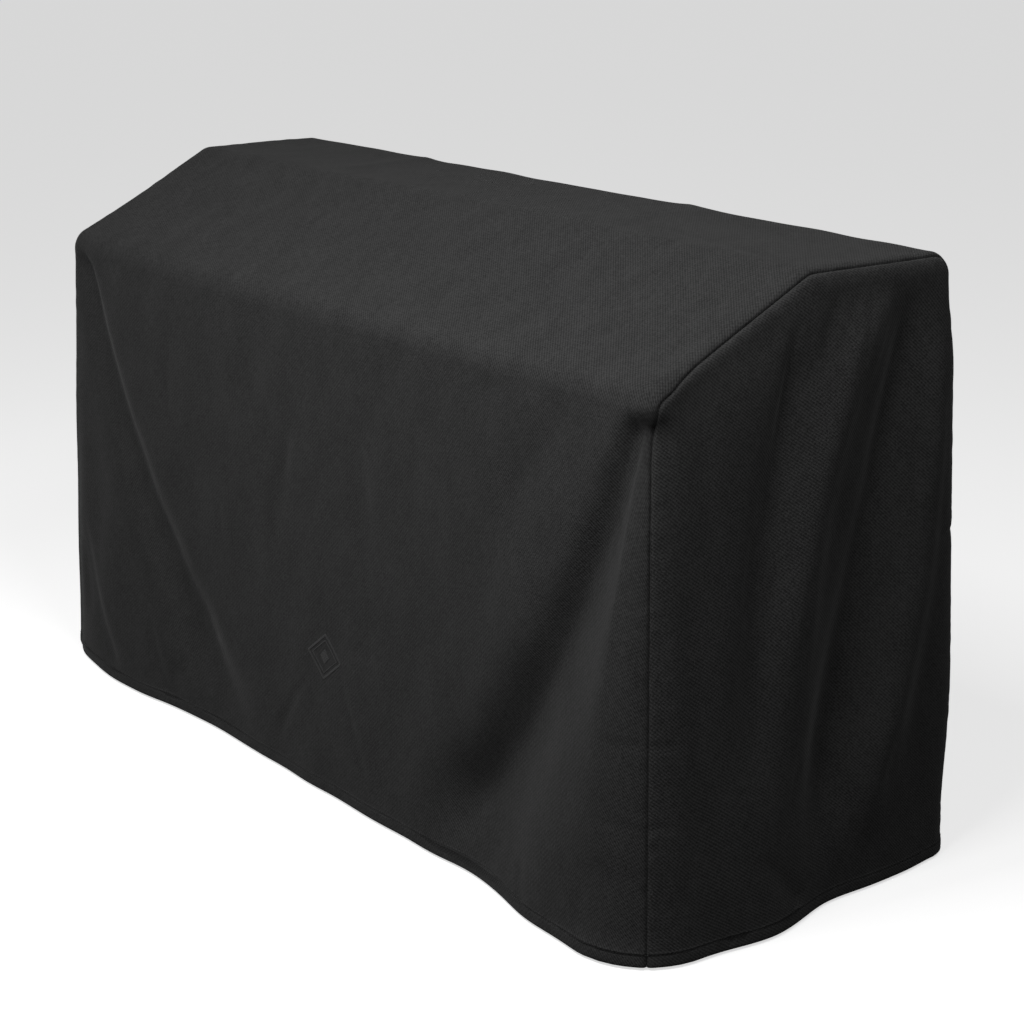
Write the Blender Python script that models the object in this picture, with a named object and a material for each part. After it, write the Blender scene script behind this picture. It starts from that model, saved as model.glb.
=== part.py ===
"""Fitted dust cover for a full-size digital piano: a sewn cloth shell that hangs open below.

Three pieces of cloth: one wrap panel runs up the front, over the sloped lid and the flat top and
down the back, and two end panels close the sides. The cloth is tight over the piano's edges and
hangs free below them, so the skirt swings out towards its hem and falls in folds.

Frame: the origin is on the underside of the flat top, at its centre. +X is to the right along
the width, +Y is towards the back, +Z is up. Lengths are in metres.
"""

import bpy
import numpy as np

# Form that the cloth hangs on, outside faces
WIDTH = 1.500
DEPTH = 0.518
HEIGHT = 0.882
FRONT_HEIGHT = 0.751
SLOPE_RUN = 0.271

# Cloth and sewing
CLOTH = 0.002
SEAM_GAP = 0.0003
EDGE_RADIUS = 0.026
FRONT_EXTRA_RADIUS = 0.014
RIDGE_EXTRA_RADIUS = 0.020
BACK_EXTRA_RADIUS = 0.008
SEAM_ANGLE_SLOPE = 54.0
SEAM_ANGLE_BACK = 34.0
SEAM_ANGLE_SKIRT = 51.0
SEAM_ANGLE_CORNER = 22.0
SEAM_CORNER_REACH = 0.036

# How strongly the skirt's rows crowd towards the edge above them
SKIRT_CROWDING = 1.30

# How many cells each stretch of cloth gets
ROWS_SKIRT = 11
ROWS_EDGE = 4
ROWS_SLOPE = 6
ROWS_RIDGE = 2
ROWS_TOP = 4
COLUMNS_ROLL = 3
COLUMNS_FLAT = 42

# How strongly the wrap's columns crowd towards the roof's corners and fan out down the skirt
FAN = 0.88

# The roof sags a little between the edges that carry it
SLOPE_SAG = 0.005
FRONT_EDGE_SAG = 0.005

# How much further out each end of the roof reaches, at the front and at the back
REACH = {"left": (0.020, 0.000), "right": (0.000, 0.044)}

# How far the skirt stands off the form. "along" runs round the skirt from the middle of the
# front, "hem" is how far the hem stands out, "shoulder" is the bulge just below the edge.
#   along    hem    shoulder
SWING = (
    (-2.010, 0.050, 0.000),
    (-1.330, 0.055, 0.006),
    (-1.230, 0.070, 0.008),
    (-0.900, 0.055, 0.000),
    (-0.750, 0.022, 0.001),
    (-0.690, 0.050, 0.000),
    (-0.600, 0.070, 0.000),
    (-0.300, 0.055, 0.000),
    (0.130, 0.060, 0.000),
    (0.460, 0.066, 0.000),
    (0.650, 0.088, 0.000),
    (0.750, 0.088, 0.004),
    (0.870, 0.096, 0.010),
    (1.000, 0.056, 0.010),
    (1.150, 0.042, 0.004),
    (1.230, 0.033, 0.000),
    (1.330, 0.048, 0.000),
    (2.010, 0.050, 0.000),
)

# Folds of the skirt, one row for each. A fold runs in a line from (along, up) to (along, up) and
# bows sideways by "bow". Its half width and its depth go from the first value to the second, and
# a negative depth is a trough. "open" and "close" are the shares of its length over which it
# grows and dies away, and "lean" makes it steeper on its left side (above 0) or its right.
#   along    up     along    up     bow    half widths    depths            open  close  lean
FOLDS = (
    # front, left corner: a narrow trough from the corner down towards the middle
    (-0.720, 0.760, -0.140, 0.000, -0.046, 0.020, 0.060, -0.009, -0.028, 0.05, 0.25, 0.25),
    (-0.735, 0.560, -0.640, 0.040, 0.000, 0.030, 0.060, 0.002, 0.006, 0.40, 0.30, 0.00),
    # front, right corner: the deep trough beside the corner
    (0.735, 0.745, 0.350, -0.020, 0.055, 0.024, 0.096, -0.019, -0.050, 0.05, 0.22, -0.25),
    (0.745, 0.700, 0.700, 0.050, 0.000, 0.016, 0.040, 0.002, 0.006, 0.20, 0.40, 0.00),
    # front: shallow wrinkles
    (0.600, 0.720, 0.430, 0.480, 0.000, 0.026, 0.034, -0.004, -0.004, 0.30, 0.40, 0.00),
    (0.105, 0.640, 0.185, 0.320, 0.000, 0.022, 0.030, -0.004, -0.003, 0.40, 0.40, 0.00),
    (-0.060, 0.580, -0.095, 0.330, 0.000, 0.022, 0.026, -0.003, -0.003, 0.40, 0.40, 0.00),
    (-0.690, 0.280, -0.520, 0.000, -0.020, 0.024, 0.034, -0.004, -0.007, 0.30, 0.20, 0.40),
    # right end: folds that fan out from the corners at the top
    (1.000, 0.830, 0.855, 0.160, -0.035, 0.022, 0.045, -0.010, -0.020, 0.15, 0.30, 0.00),
    (1.114, 0.865, 0.915, 0.220, -0.040, 0.022, 0.048, 0.012, 0.024, 0.15, 0.35, 0.00),
    (1.170, 0.865, 0.960, 0.040, 0.000, 0.022, 0.048, -0.014, -0.028, 0.15, 0.30, 0.00),
    (1.214, 0.850, 1.015, 0.000, 0.045, 0.022, 0.048, 0.012, 0.026, 0.15, 0.30, 0.00),
    (1.265, 0.720, 1.245, 0.060, 0.000, 0.070, 0.070, 0.009, 0.012, 0.40, 0.35, 0.00),
    # left end
    (-0.840, 0.720, -0.900, 0.000, 0.020, 0.025, 0.045, -0.012, -0.022, 0.10, 0.30, 0.00),
    (-1.120, 0.840, -0.960, 0.120, 0.030, 0.025, 0.050, -0.010, -0.020, 0.20, 0.30, 0.00),
    (-1.225, 0.850, -1.100, 0.000, 0.010, 0.025, 0.045, -0.010, -0.018, 0.15, 0.30, 0.00),
    # back
    (1.300, 0.850, 1.560, 0.000, 0.020, 0.025, 0.060, -0.012, -0.020, 0.10, 0.25, 0.00),
    (-1.300, 0.850, -1.620, 0.020, -0.020, 0.025, 0.060, -0.012, -0.020, 0.10, 0.25, 0.00),
    (1.800, 0.700, 1.860, 0.050, 0.000, 0.040, 0.060, -0.004, -0.008, 0.40, 0.30, 0.00),
    (-1.820, 0.620, -1.780, 0.000, 0.000, 0.040, 0.060, -0.004, -0.008, 0.40, 0.30, 0.00),
)


def unit(v):
    """The vectors at length 1, leaving a zero vector as it is."""
    length = np.linalg.norm(v, axis=-1, keepdims=True)
    return v / np.where(length > 1e-9, length, 1.0)


def smooth(t):
    t = np.clip(t, 0.0, 1.0)
    return t * t * (3.0 - 2.0 * t)


def profile_corners():
    """The inner line's corners, as (centre y, z, extra radius, normal's angle before, after)."""
    rise = np.arctan2(HEIGHT - FRONT_HEIGHT, SLOPE_RUN)
    r = EDGE_RADIUS + FRONT_EXTRA_RADIUS
    front_z = FRONT_HEIGHT - r * (1 - np.sin(rise)) / np.cos(rise)
    front = (r, front_z, FRONT_EXTRA_RADIUS, np.pi, np.pi / 2 + rise)
    r = EDGE_RADIUS + RIDGE_EXTRA_RADIUS
    ridge_y = (r + (HEIGHT - r - FRONT_HEIGHT) * np.cos(rise)) / np.sin(rise)
    ridge = (ridge_y, HEIGHT - r, RIDGE_EXTRA_RADIUS, np.pi / 2 + rise, np.pi / 2)
    r = EDGE_RADIUS + BACK_EXTRA_RADIUS
    back = (DEPTH - r, HEIGHT - r, BACK_EXTRA_RADIUS, np.pi / 2, 0.0)
    return front, ridge, back


def profile(rows):
    """Stations along the wrap from the front hem over the roof to the back hem.

    Each has a point (y, z) on the inner line and the outward normal there.
    """
    front, ridge, back = profile_corners()
    points, normals = [], []

    def arc(corner, count, skip):
        y, z, e, before, after = corner
        for i in range(skip, count + 1):
            angle = before + (after - before) * i / count
            n = np.array([np.cos(angle), np.sin(angle)])
            points.append(np.array([y, z]) + e * n)
            normals.append(n)

    def run(count, goal, ease=lambda t: t):
        start = points[-1]
        for i in range(1, count + 1):
            points.append(start + (goal - start) * ease(i / count))
            normals.append(normals[-1])

    def begin(corner):
        y, z, e, before, _ = corner
        return np.array([y, z]) + e * np.array([np.cos(before), np.sin(before)])

    points.append(np.array([EDGE_RADIUS, 0.0]))
    normals.append(np.array([-1.0, 0.0]))
    run(rows["skirt"], begin(front), lambda t: 1.0 - (1.0 - t) ** SKIRT_CROWDING)
    arc(front, rows["edge"], 1)
    run(rows["slope"], begin(ridge))
    arc(ridge, rows["ridge"], 1)
    run(rows["top"], begin(back))
    arc(back, rows["edge"], 1)
    run(rows["skirt"], np.array([DEPTH - EDGE_RADIUS, 0.0]), lambda t: t**SKIRT_CROWDING)
    return np.array(points), np.array(normals)


def crest(y):
    """Height of the form's outer line above the hem at this depth."""
    return np.interp(y, [0.0, SLOPE_RUN, DEPTH], [FRONT_HEIGHT, HEIGHT, HEIGHT])


def round_the_skirt(x, y):
    """How far round the skirt a point is, and the level direction that faces out there."""
    r = EDGE_RADIUS
    cx = np.clip(x, r - WIDTH / 2, WIDTH / 2 - r)
    cy = np.clip(y, r, DEPTH - r)
    out = np.stack([x - cx, y - cy], axis=-1)
    turn = np.arctan2(out[..., 1], np.abs(out[..., 0]))
    side = np.where(x < 0, -1.0, 1.0)
    at_end = np.abs(out[..., 0]) > 1e-9
    front = np.abs(cx)
    end = WIDTH / 2 - r + 2 * r * (turn / np.pi + 0.5) + (cy - r)
    back = WIDTH / 2 - r + 2 * r + (DEPTH - 2 * r) + (WIDTH / 2 - r - np.abs(cx))
    along = np.where(at_end, end, np.where(out[..., 1] > 0, back, front))
    return side * along, unit(out)


def between_stations(table, column, place):
    """A smooth curve through one column of a table whose first column is the place."""
    x, v = table[:, 0], table[:, column]
    slope = np.gradient(v, x)
    k = np.clip(np.searchsorted(x, place) - 1, 0, len(x) - 2)
    h = x[k + 1] - x[k]
    t = (place - x[k]) / h
    rise = t * t * (3.0 - 2.0 * t)
    return (
        v[k] * (1.0 - rise)
        + v[k + 1] * rise
        + slope[k] * h * t * (1.0 - t) ** 2
        - slope[k + 1] * h * t * t * (1.0 - t)
    )


def swing(along, drop):
    """Stand-off of the plain skirt, drop going from 0 at the edge to 1 at the hem."""
    table = np.array(SWING)
    hem = between_stations(table, 1, along)
    shoulder = between_stations(table, 2, along)
    return hem * drop + shoulder * (1.0 - np.exp(-((drop / 0.08) ** 2)))


def fold(along, up, row):
    """One fold's stand-off."""
    a0, u0, a1, u1, bow, w0, w1, d0, d1, grow, die, lean = row
    line = np.array([a1 - a0, u1 - u0])
    length = np.hypot(*line)
    line = line / length
    da, du = along - a0, up - u0
    t = (da * line[0] + du * line[1]) / length
    side = -da * line[1] + du * line[0]
    held = np.clip(t, 0.0, 1.0)
    side = side - bow * 4.0 * held * (1.0 - held)
    ends = smooth(t / grow) * smooth((1.0 - t) / die)
    width = (w0 + (w1 - w0) * held) * (1.0 - lean * np.sign(side))
    depth = d0 + (d1 - d0) * held
    return depth * ends * np.exp(-((side / width) ** 2))


def displace(p):
    """The cloth's place for points p of the plain form."""
    x, y, z = p[..., 0], p[..., 1], p[..., 2]
    along, out = round_the_skirt(x, y)
    top = crest(y)
    drop = np.clip((top - 0.012 - z) / (top - 0.012), 0.0, 1.0)
    stand = swing(along, drop)
    for row in FOLDS:
        stand = stand + fold(along, z, row) * smooth(drop / 0.06)
    middle = 1.0 - np.clip(2.0 * x / WIDTH, -1.0, 1.0) ** 2
    over = smooth(1.0 - drop / 0.10)
    on_slope = np.clip(y / SLOPE_RUN, 0.0, 1.0)
    sag = SLOPE_SAG * np.sin(np.pi * on_slope) + FRONT_EDGE_SAG * (1.0 - smooth(on_slope)) * middle
    move = np.zeros(p.shape)
    move[..., :2] = out * stand[..., None]
    move[..., 2] = -sag * over
    back = smooth((y - 0.4 * SLOPE_RUN) / (DEPTH - 0.4 * SLOPE_RUN))
    for side, (at_front, at_back) in zip((-1.0, 1.0), REACH.values()):
        reach = at_front + (at_back - at_front) * back
        move[..., 0] += side * reach * smooth(side * 2.0 * x / WIDTH)
    return p + move


def sheet_faces(p, normal):
    """The cloth's outer face, inner face and normals, for p on the plain form."""
    up = np.where(np.abs(normal[..., 2:]) > 0.9, [1.0, 0.0, 0.0], [0.0, 0.0, 1.0])
    t1 = unit(np.cross(up, normal))
    t2 = np.cross(normal, t1)
    h = 0.0005
    d1 = displace(p + h * t1) - displace(p - h * t1)
    d2 = displace(p + h * t2) - displace(p - h * t2)
    n = unit(np.cross(d1, d2))
    outer = displace(p)
    return outer, outer - n * CLOTH, n


def seam_angles(line, normals):
    """Roll of the cloth over the end edge at the seam, for each station."""
    level = smooth(np.abs(normals[:, 0]) ** 2)
    roof = SEAM_ANGLE_SLOPE + (SEAM_ANGLE_BACK - SEAM_ANGLE_SLOPE) * smooth(line[:, 0] / DEPTH)
    corner_y, corner_z = profile_corners()[0][:2]
    far = np.hypot(line[:, 0] - corner_y, line[:, 1] - corner_z)
    rounding = SEAM_ANGLE_CORNER * np.exp(-((far / SEAM_CORNER_REACH) ** 2))
    return np.radians(roof + (SEAM_ANGLE_SKIRT - roof) * level + rounding)


def wrap_points(rows, columns):
    """Plain form under the wrap panel: rows along the profile, columns across the width."""
    line, normals = profile(rows)
    last = seam_angles(line, normals)
    inner = WIDTH / 2 - EDGE_RADIUS
    rolls = [last * (1.0 - i / columns["roll"]) for i in range(columns["roll"])]
    share = np.linspace(-1.0, 1.0, columns["flat"] + 1)
    roof = inner * np.sin(np.pi / 2 * share * FAN) / np.sin(np.pi / 2 * FAN)
    down = np.clip(1.0 - line[:, 1] / FRONT_HEIGHT, 0.0, 1.0)
    places = [(np.full(len(line), -inner), -a) for a in rolls]
    places += [(x + (inner * s - x) * down, np.zeros(len(line))) for x, s in zip(roof, share)]
    places += [(np.full(len(line), inner), a) for a in reversed(rolls)]
    p, n = [], []
    for x, angle in places:
        c, s = np.cos(angle), np.sin(angle)
        normal = np.stack([s, c * normals[:, 0], c * normals[:, 1]], axis=-1)
        inside = np.stack([x, line[:, 0], line[:, 1]], axis=-1)
        p.append(inside + EDGE_RADIUS * normal)
        n.append(normal)
    return np.stack(p, axis=1), np.stack(n, axis=1)


def inner_distance(y, z, line):
    """How far (y, z) is outside the inner line, and the direction from it."""
    best = np.full(y.shape, np.inf)
    away = np.zeros(y.shape + (2,))
    point = np.stack([y, z], axis=-1)
    inside = np.ones(y.shape, bool)
    for a, b in zip(line[:-1], line[1:]):
        edge = b - a
        if np.hypot(*edge) < 1e-9:
            continue
        t = np.clip(((point - a) @ edge) / (edge @ edge), 0.0, 1.0)
        gap = point - (a + t[..., None] * edge)
        far = np.linalg.norm(gap, axis=-1)
        near = far < best
        best = np.where(near, far, best)
        away = np.where(near[..., None], gap, away)
        inside &= edge[0] * (point[..., 1] - a[1]) - edge[1] * (point[..., 0] - a[0]) <= 1e-12
    best = np.where(inside, 0.0, best)
    return best, np.where(inside[..., None], 0.0, unit(away))


def end_points(rows, side):
    """Plain form under an end panel: rows up the skirt, columns from front to back."""
    line, normals = profile(rows)
    angle = seam_angles(line, normals)
    rim = line + (EDGE_RADIUS * np.cos(angle))[:, None] * normals
    up = rows["skirt"] + rows["edge"] // 2
    front = rim[: up + 1]
    back = rim[::-1][: up + 1]
    top = rim[up : len(rim) - up]
    count = len(top) - 1
    share = np.cumsum(np.concatenate([[0.0], np.hypot(*np.diff(top, axis=0).T)]))
    share = share / share[-1]
    hem = front[0] + (back[0] - front[0]) * share[:, None]
    u = np.repeat(share[None, :, None], up + 1, axis=0)
    rise = np.cumsum(np.concatenate([[0.0], np.hypot(*np.diff(front, axis=0).T)]))
    v = np.repeat((rise / rise[-1])[:, None, None], count + 1, axis=1)
    sides = front[:, None] * (1 - u) + back[:, None] * u
    ends = hem[None] * (1 - v) + top[None] * v
    corner = (
        front[0] * (1 - u) * (1 - v)
        + back[0] * u * (1 - v)
        + front[-1] * (1 - u) * v
        + back[-1] * u * v
    )
    flat = sides + ends - corner
    fine, _ = profile({k: n * 6 for k, n in rows.items()})
    far, away = inner_distance(flat[..., 0], flat[..., 1], fine)
    s = np.clip(far / EDGE_RADIUS, 0.0, 0.98)
    c = np.sqrt(1.0 - s * s)
    x = WIDTH / 2 - EDGE_RADIUS + EDGE_RADIUS * c
    p = np.concatenate([side * x[..., None], flat], axis=-1)
    n = np.concatenate([side * c[..., None], s[..., None] * away], axis=-1)
    return p, n


def to_part(p):
    """From the form's own place to the part's frame."""
    return p - np.array([0.0, (SLOPE_RUN + DEPTH) / 2, HEIGHT - CLOTH])


def draw_back(grid, normal, path):
    """Moves a sewn side of the cloth, given as a path of (row, column), half the gap off its seam."""
    row, column = np.array(path).T
    seam = grid[row, column]
    steps = unit(np.diff(seam, axis=0))
    along = np.concatenate([steps[:1], steps[:-1] + steps[1:], steps[-1:]])
    aside = unit(np.cross(normal[row, column], along))
    middle = grid[grid.shape[0] // 2, grid.shape[1] // 2]
    facing = np.sign(np.sum(aside * (middle - seam), axis=-1, keepdims=True))
    return row, column, aside * facing * SEAM_GAP / 2


def sheet(name, p, normal, sewn, flip):
    """A closed cloth solid from a grid of points on the plain form. Its sewn sides are paths."""
    outer, inner, across = sheet_faces(p, normal)
    for path in sewn:
        row, column, move = draw_back(outer, across, path)
        outer[row, column] += move
        inner[row, column] += move
    rows, columns = p.shape[:2]
    count = rows * columns
    points = to_part(np.concatenate([outer.reshape(-1, 3), inner.reshape(-1, 3)]))
    index = np.arange(count).reshape(rows, columns)
    faces = []
    for i in range(rows - 1):
        for j in range(columns - 1):
            a, b, c, d = index[i, j], index[i, j + 1], index[i + 1, j + 1], index[i + 1, j]
            # both faces of the cloth are cut along the same diagonal, the shorter one
            if np.linalg.norm(points[a] - points[c]) > np.linalg.norm(points[b] - points[d]):
                a, b, c, d = b, c, d, a
            for p1, p2, p3 in ((a, b, c), (a, c, d)):
                faces.append((p1, p2, p3))
                faces.append((p3 + count, p2 + count, p1 + count))
    rim = list(index[0, :]) + list(index[1:, -1]) + list(index[-1, -2::-1]) + list(index[-2:0:-1, 0])
    # both panels at a seam cut the twisted quads of their rims along the same diagonals
    order = points[:count] @ np.array([0.0, 0.37, 1.0])
    for a, b in zip(rim, rim[1:] + rim[:1]):
        low, high = (a, b) if order[a] < order[b] else (b, a)
        faces.append((b, a, high + count))
        faces.append((a + count, b + count, low))
    if flip:
        faces = [face[::-1] for face in faces]
    mesh = bpy.data.meshes.new(name)
    mesh.from_pydata([tuple(map(float, q)) for q in points], [], [tuple(map(int, f)) for f in faces])
    mesh.validate()
    mesh.shade_smooth()
    mesh.set_sharp_from_angle(angle=np.radians(60.0))
    obj = bpy.data.objects.new(name, mesh)
    bpy.context.scene.collection.objects.link(obj)
    return obj


def side_path(shape, column):
    return [(i, column % shape[1]) for i in range(shape[0])]


def rim_path(shape):
    """Up the front side, along the top and down the back side of an end panel."""
    rows, columns = shape[:2]
    front = [(i, 0) for i in range(rows)]
    top = [(rows - 1, j) for j in range(1, columns)]
    return front + top + [(i, columns - 1) for i in range(rows - 2, -1, -1)]


def cloth_material(name, grey):
    material = bpy.data.materials.new(name)
    material.use_nodes = True
    shader = material.node_tree.nodes["Principled BSDF"]
    shader.inputs["Base Color"].default_value = (grey, grey, grey * 1.03, 1.0)
    shader.inputs["Roughness"].default_value = 0.92
    shader.inputs["Metallic"].default_value = 0.0
    return material


for old in list(bpy.data.objects):
    bpy.data.objects.remove(old)

ROWS = {
    "skirt": ROWS_SKIRT,
    "edge": ROWS_EDGE,
    "slope": ROWS_SLOPE,
    "ridge": ROWS_RIDGE,
    "top": ROWS_TOP,
}
COLUMNS = {"roll": COLUMNS_ROLL, "flat": COLUMNS_FLAT}

form, facing = wrap_points(ROWS, COLUMNS)
sides = [side_path(form.shape, 0), side_path(form.shape, -1)]
panels = [sheet("wrap_panel", form, facing, sides, flip=False)]
for name, side in (("end_panel_right", 1.0), ("end_panel_left", -1.0)):
    form, facing = end_points(ROWS, side)
    panels.append(sheet(name, form, facing, [rim_path(form.shape)], flip=side < 0))
for panel in panels:
    panel.data.materials.append(cloth_material(panel.name, 0.035))
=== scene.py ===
# %% [markdown]
# # Piano cover
# A fitted black cloth cover for a full-size digital piano, shown as it hangs on the piano. The CAD
# part is loaded first and stays as the fixed frame. Its cloth panels are then redrawn here as thin
# sheets on the same folds, with the finer creases, seams, hem and stitching that the solids leave
# out. Each panel could also be draped by a cloth simulation, but the folds here come from short
# tables, so that they stay where the solids have them.

import bmesh
import bpy
import numpy as np
from mathutils import Matrix, Vector


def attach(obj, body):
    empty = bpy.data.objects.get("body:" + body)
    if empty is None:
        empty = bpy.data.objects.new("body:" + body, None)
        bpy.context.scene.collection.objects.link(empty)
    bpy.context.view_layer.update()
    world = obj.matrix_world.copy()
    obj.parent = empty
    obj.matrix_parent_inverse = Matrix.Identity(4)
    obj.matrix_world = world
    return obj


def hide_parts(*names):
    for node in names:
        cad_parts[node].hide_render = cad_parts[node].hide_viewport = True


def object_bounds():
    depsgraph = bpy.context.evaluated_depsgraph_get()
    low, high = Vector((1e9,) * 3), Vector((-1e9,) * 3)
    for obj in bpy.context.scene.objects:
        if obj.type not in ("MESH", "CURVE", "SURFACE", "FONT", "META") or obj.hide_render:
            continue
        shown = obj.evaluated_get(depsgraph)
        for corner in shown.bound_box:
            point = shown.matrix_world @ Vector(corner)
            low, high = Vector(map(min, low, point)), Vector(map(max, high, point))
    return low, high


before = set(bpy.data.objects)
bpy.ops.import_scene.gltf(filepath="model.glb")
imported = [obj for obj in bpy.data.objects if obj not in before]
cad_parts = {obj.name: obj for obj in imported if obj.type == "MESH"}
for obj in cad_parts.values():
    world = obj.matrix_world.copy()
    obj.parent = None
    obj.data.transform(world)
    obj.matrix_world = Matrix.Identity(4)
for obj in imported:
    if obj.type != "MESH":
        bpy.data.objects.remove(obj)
cad_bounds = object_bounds()
print("CAD bounds", [round(v, 4) for corner in cad_bounds for v in corner])

# %% [markdown]
# ## Sizes
# All lengths are in metres. The form is the outside of the piano with the cloth on it, measured from
# the hem up and from the front back, and these are the same numbers that drive the solids. The hem
# depth is a sewer's choice for a cover of this weight.

# %% Sizes
WIDTH = 1.500
DEPTH = 0.518
HEIGHT = 0.882
FRONT_HEIGHT = 0.751
SLOPE_RUN = 0.271

SOLID_CLOTH = 0.002
EDGE_RADIUS = 0.026
FRONT_EXTRA_RADIUS = 0.014
RIDGE_EXTRA_RADIUS = 0.020
BACK_EXTRA_RADIUS = 0.008
SEAM_ANGLE_SLOPE = 54.0
SEAM_ANGLE_BACK = 34.0
SEAM_ANGLE_SKIRT = 51.0
SEAM_ANGLE_CORNER = 22.0
SEAM_CORNER_REACH = 0.036
FAN = 0.88

SLOPE_SAG = 0.005
FRONT_EDGE_SAG = 0.005
REACH = {"left": (0.020, 0.000), "right": (0.000, 0.044)}

HEM = 0.019
HEM_STITCH_UP = 0.0165
SEAM_GAP = 0.0003
SEAM_DEPTH = 0.0030
SEAM_WIDTH = 0.0042

EDGE_CLEAR = 0.012
FIRST_ROW_UP = 0.026
HEM_BAND_RELIEF = 0.0009
PUCKER = 0.0004

# %% [markdown]
# ## Main folds
# The cloth is tight over the edges of the piano and hangs free below them. SWING says how far the
# skirt stands off all round, and FOLDS lists each main trough and ridge. Both tables are the ones
# that the solids use. A fold is a soft bump drawn along a bowed line, which is simple and easy to
# adjust by eye, where a scan or a simulation would give thousands of numbers.

# %% Main folds
#   along    hem    shoulder
SWING = (
    (-2.010, 0.050, 0.000),
    (-1.330, 0.055, 0.006),
    (-1.230, 0.070, 0.008),
    (-0.900, 0.055, 0.000),
    (-0.750, 0.022, 0.001),
    (-0.690, 0.050, 0.000),
    (-0.600, 0.070, 0.000),
    (-0.300, 0.055, 0.000),
    (0.130, 0.060, 0.000),
    (0.460, 0.066, 0.000),
    (0.650, 0.088, 0.000),
    (0.750, 0.088, 0.004),
    (0.870, 0.096, 0.010),
    (1.000, 0.056, 0.010),
    (1.150, 0.042, 0.004),
    (1.230, 0.033, 0.000),
    (1.330, 0.048, 0.000),
    (2.010, 0.050, 0.000),
)

#   along    up     along    up     bow    half widths    depths            open  close  lean
FOLDS = (
    # front, left corner: a narrow trough from the corner down towards the middle
    (-0.720, 0.760, -0.140, 0.000, -0.046, 0.020, 0.060, -0.009, -0.028, 0.05, 0.25, 0.25),
    (-0.735, 0.560, -0.640, 0.040, 0.000, 0.030, 0.060, 0.002, 0.006, 0.40, 0.30, 0.00),
    # front, right corner: the deep trough beside the corner
    (0.735, 0.745, 0.350, -0.020, 0.055, 0.024, 0.096, -0.019, -0.050, 0.05, 0.22, -0.25),
    (0.745, 0.700, 0.700, 0.050, 0.000, 0.016, 0.040, 0.002, 0.006, 0.20, 0.40, 0.00),
    # front: shallow wrinkles
    (0.600, 0.720, 0.430, 0.480, 0.000, 0.026, 0.034, -0.004, -0.004, 0.30, 0.40, 0.00),
    (0.105, 0.640, 0.185, 0.320, 0.000, 0.022, 0.030, -0.004, -0.003, 0.40, 0.40, 0.00),
    (-0.060, 0.580, -0.095, 0.330, 0.000, 0.022, 0.026, -0.003, -0.003, 0.40, 0.40, 0.00),
    (-0.690, 0.280, -0.520, 0.000, -0.020, 0.024, 0.034, -0.004, -0.007, 0.30, 0.20, 0.40),
    # right end: folds that fan out from the corners at the top
    (1.000, 0.830, 0.855, 0.160, -0.035, 0.022, 0.045, -0.010, -0.020, 0.15, 0.30, 0.00),
    (1.114, 0.865, 0.915, 0.220, -0.040, 0.022, 0.048, 0.012, 0.024, 0.15, 0.35, 0.00),
    (1.170, 0.865, 0.960, 0.040, 0.000, 0.022, 0.048, -0.014, -0.028, 0.15, 0.30, 0.00),
    (1.214, 0.850, 1.015, 0.000, 0.045, 0.022, 0.048, 0.012, 0.026, 0.15, 0.30, 0.00),
    (1.265, 0.720, 1.245, 0.060, 0.000, 0.070, 0.070, 0.009, 0.012, 0.40, 0.35, 0.00),
    # left end
    (-0.840, 0.720, -0.900, 0.000, 0.020, 0.025, 0.045, -0.012, -0.022, 0.10, 0.30, 0.00),
    (-1.120, 0.840, -0.960, 0.120, 0.030, 0.025, 0.050, -0.010, -0.020, 0.20, 0.30, 0.00),
    (-1.225, 0.850, -1.100, 0.000, 0.010, 0.025, 0.045, -0.010, -0.018, 0.15, 0.30, 0.00),
    # back
    (1.300, 0.850, 1.560, 0.000, 0.020, 0.025, 0.060, -0.012, -0.020, 0.10, 0.25, 0.00),
    (-1.300, 0.850, -1.620, 0.020, -0.020, 0.025, 0.060, -0.012, -0.020, 0.10, 0.25, 0.00),
    (1.800, 0.700, 1.860, 0.050, 0.000, 0.040, 0.060, -0.004, -0.008, 0.40, 0.30, 0.00),
    (-1.820, 0.620, -1.780, 0.000, 0.000, 0.040, 0.060, -0.004, -0.008, 0.40, 0.30, 0.00),
)

# %% [markdown]
# ## Fine creases
# These are the creases that are too small for the solids: pressed lines that fan out below the
# corners, puckers round the embroidery and along the seams, and the lines that the folded cover kept
# from its packing. A sharp crease has a narrow top, like a pressed line; the others are rounded.

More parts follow.
